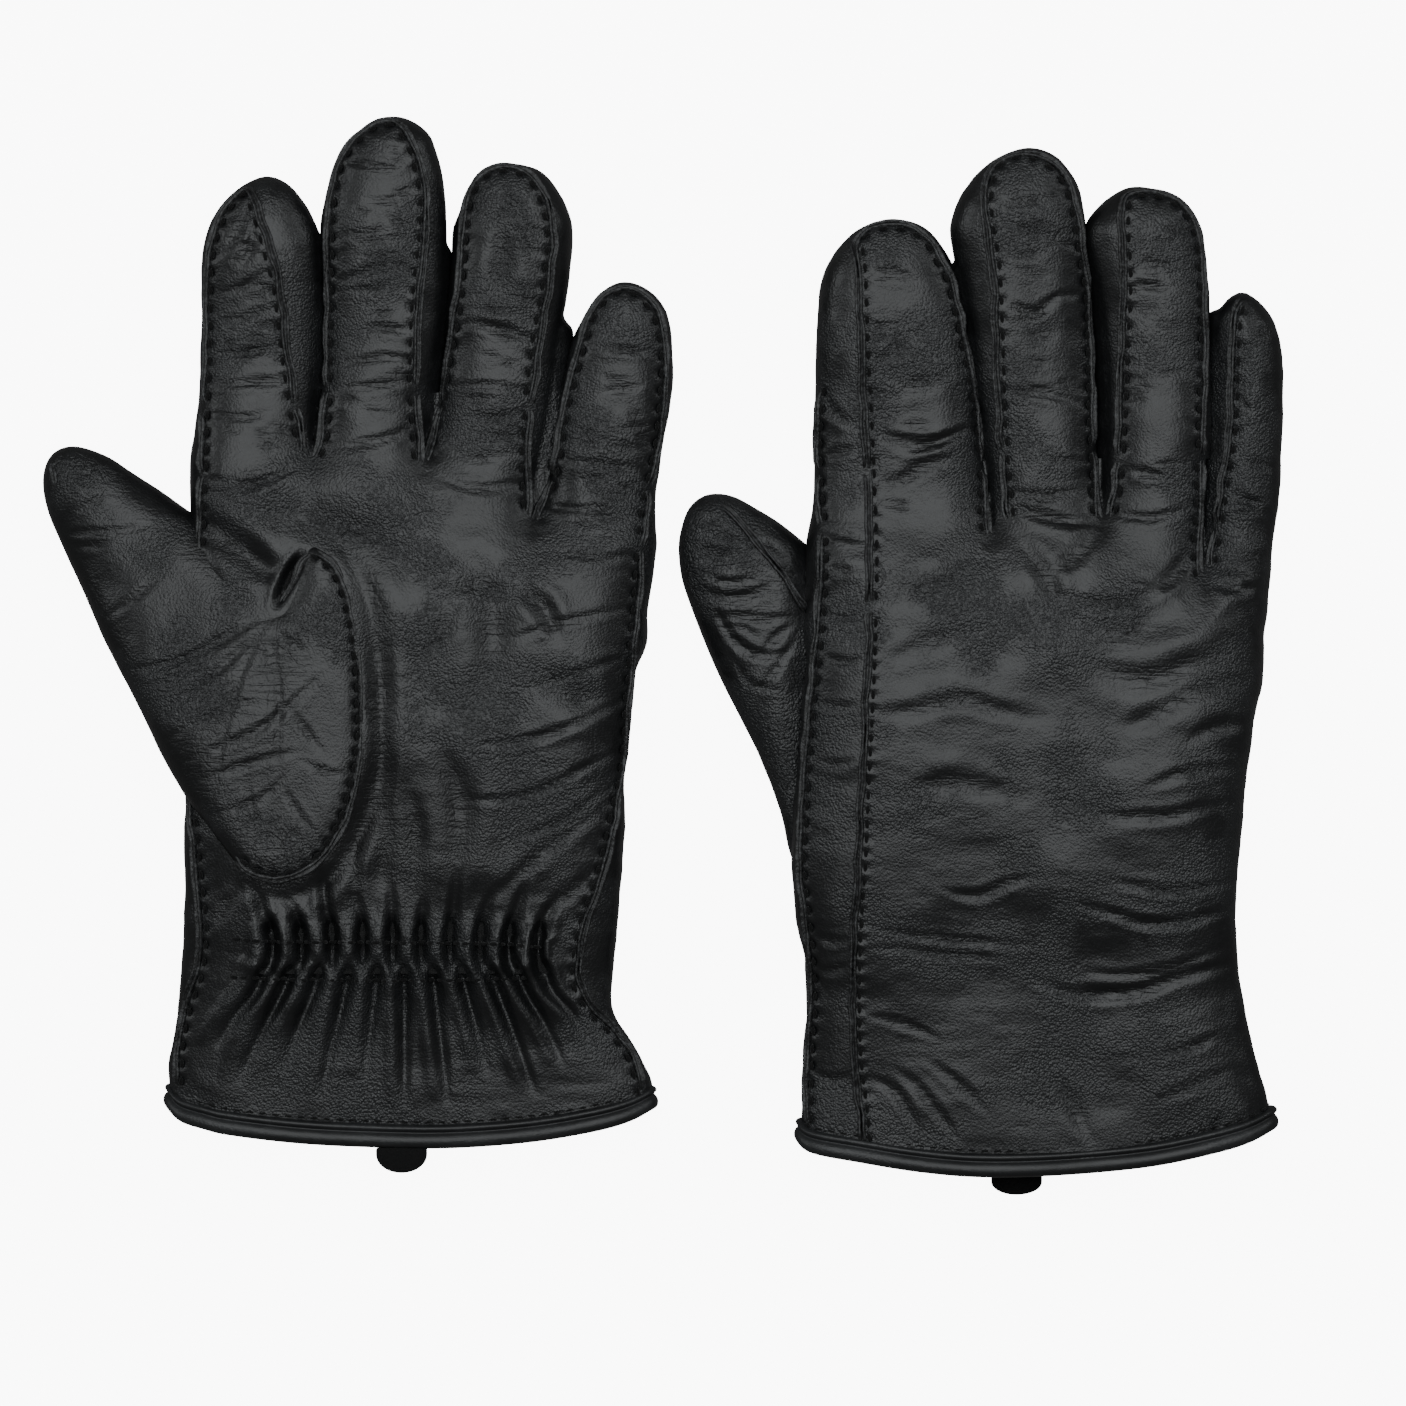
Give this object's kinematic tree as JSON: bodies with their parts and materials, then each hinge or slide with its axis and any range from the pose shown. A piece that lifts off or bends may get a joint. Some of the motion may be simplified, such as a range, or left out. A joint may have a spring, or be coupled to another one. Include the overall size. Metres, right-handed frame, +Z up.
{
  "type": "pair of lined leather gloves",
  "caption": "Black leather dress gloves with outside seams, gathered wrist, bound hem and pull tabs, one palm up and one back up.",
  "frame": {"origin": "middle of the pair's footprint, on the surface the gloves lie on", "axes": "+X across the pair from the left-hand glove to the right-hand glove, +Y from the hems to the fingertips, +Z up"},
  "size_m": [0.3094, 0.2692, 0.032],
  "materials": {
    "black_leather": "semi-matte, fine grain",
    "binding_leather": "semi-matte",
    "fleece_lining": "brushed fleece",
    "elastic": "matte, fabric covered",
    "tab_suede": "matte"
  },
  "bodies": {
    "left_hand": {"left_palm_panel": "black_leather", "left_back_panel": "black_leather", "left_thumb_base": "black_leather", "left_thumb_gusset": "black_leather", "left_hem_binding": "binding_leather", "left_wrist_elastic": "elastic", "left_hand_lining": "fleece_lining", "left_side_strip": "black_leather", "left_fourchette_index_middle": "black_leather", "left_fourchette_middle_ring": "black_leather", "left_fourchette_ring_little": "black_leather"},
    "left_index": {"left_index_front": "black_leather", "left_index_back": "black_leather", "left_index_sidewalls": "black_leather", "left_index_lining": "fleece_lining"},
    "left_middle": {"left_middle_front": "black_leather", "left_middle_back": "black_leather", "left_middle_fourchettes": "black_leather", "left_middle_lining": "fleece_lining"},
    "left_ring": {"left_ring_front": "black_leather", "left_ring_back": "black_leather", "left_ring_fourchettes": "black_leather", "left_ring_lining": "fleece_lining"},
    "left_little": {"left_little_front": "black_leather", "left_little_back": "black_leather", "left_little_fourchettes": "black_leather", "left_little_lining": "fleece_lining"},
    "left_thumb": {"left_thumb_leather": "black_leather", "left_thumb_lining": "fleece_lining"},
    "left_tab": {"left_pull_tab": "tab_suede"},
    "right_hand": {"right_palm_panel": "black_leather", "right_back_panel": "black_leather", "right_thumb_base": "black_leather", "right_thumb_gusset": "black_leather", "right_hem_binding": "binding_leather", "right_wrist_elastic": "elastic", "right_hand_lining": "fleece_lining", "right_side_strip": "black_leather", "right_fourchette_index_middle": "black_leather", "right_fourchette_middle_ring": "black_leather", "right_fourchette_ring_little": "black_leather"},
    "right_index": {"right_index_front": "black_leather", "right_index_back": "black_leather", "right_index_sidewalls": "black_leather", "right_index_lining": "fleece_lining"},
    "right_middle": {"right_middle_front": "black_leather", "right_middle_back": "black_leather", "right_middle_fourchettes": "black_leather", "right_middle_lining": "fleece_lining"},
    "right_ring": {"right_ring_front": "black_leather", "right_ring_back": "black_leather", "right_ring_fourchettes": "black_leather", "right_ring_lining": "fleece_lining"},
    "right_little": {"right_little_front": "black_leather", "right_little_back": "black_leather", "right_little_fourchettes": "black_leather", "right_little_lining": "fleece_lining"},
    "right_thumb": {"right_thumb_leather": "black_leather", "right_thumb_lining": "fleece_lining"},
    "right_tab": {"right_pull_tab": "tab_suede"}
  },
  "joints": [
    {"name": "right_glove_lift", "type": "slide", "parent": "left_hand", "child": "right_hand", "axis": [0, 0, 1], "range_m": [0, 0.15]},
    {"name": "left_index_bend", "type": "hinge", "parent": "left_hand", "child": "left_index", "pos_m": [-0.10082, 0.07541, 0.0206], "axis": [1, -0.0077, 0], "range_deg": [0, 80], "stiffness_Nm_per_rad": 0.02},
    {"name": "left_middle_bend", "type": "hinge", "parent": "left_hand", "child": "left_middle", "pos_m": [-0.07031, 0.07941, 0.0206], "axis": [0.9991, -0.0415, 0], "range_deg": [0, 80], "stiffness_Nm_per_rad": 0.02},
    {"name": "left_ring_bend", "type": "hinge", "parent": "left_hand", "child": "left_ring", "pos_m": [-0.04022, 0.07541, 0.0206], "axis": [0.9985, -0.0553, 0], "range_deg": [0, 80], "stiffness_Nm_per_rad": 0.02},
    {"name": "left_little_bend", "type": "hinge", "parent": "left_hand", "child": "left_little", "pos_m": [-0.01371, 0.05591, 0.0206], "axis": [0.988, -0.1542, 0], "range_deg": [0, 80], "stiffness_Nm_per_rad": 0.02},
    {"name": "left_thumb_fold", "type": "hinge", "parent": "left_hand", "child": "left_thumb", "pos_m": [-0.11207, -0.04834, 0.026], "axis": [0.2747, 0.9615, 0], "range_deg": [0, 70], "stiffness_Nm_per_rad": 0.02},
    {"name": "left_tab_flip", "type": "hinge", "parent": "left_hand", "child": "left_tab", "pos_m": [-0.06532, -0.12379, 0.0155], "axis": [1, 0, 0], "range_deg": [-60, 60], "stiffness_Nm_per_rad": 0.0002},
    {"name": "right_index_bend", "type": "hinge", "parent": "right_hand", "child": "right_index", "pos_m": [0.05867, 0.05941, 0.0002], "axis": [-0.9999, -0.0156, 0], "range_deg": [0, 80], "stiffness_Nm_per_rad": 0.02},
    {"name": "right_middle_bend", "type": "hinge", "parent": "right_hand", "child": "right_middle", "pos_m": [0.09397, 0.06441, 0.0002], "axis": [-0.9979, -0.0653, 0], "range_deg": [0, 80], "stiffness_Nm_per_rad": 0.02},
    {"name": "right_ring_bend", "type": "hinge", "parent": "right_hand", "child": "right_ring", "pos_m": [0.12366, 0.06241, 0.0002], "axis": [-0.9993, -0.0363, 0], "range_deg": [0, 80], "stiffness_Nm_per_rad": 0.02},
    {"name": "right_little_bend", "type": "hinge", "parent": "right_hand", "child": "right_little", "pos_m": [0.14497, 0.04541, 0.0002], "axis": [-0.999, 0.0443, 0], "range_deg": [0, 80], "stiffness_Nm_per_rad": 0.02},
    {"name": "right_thumb_fold", "type": "hinge", "parent": "right_hand", "child": "right_thumb", "pos_m": [0.03523, -0.05159, -0.0004], "axis": [0, -1, 0], "range_deg": [0, 70], "stiffness_Nm_per_rad": 0.02},
    {"name": "right_tab_flip", "type": "hinge", "parent": "right_hand", "child": "right_tab", "pos_m": [0.08863, -0.13129, 0.0025], "axis": [1, 0, 0], "range_deg": [-60, 60], "stiffness_Nm_per_rad": 0.0002}
  ]
}
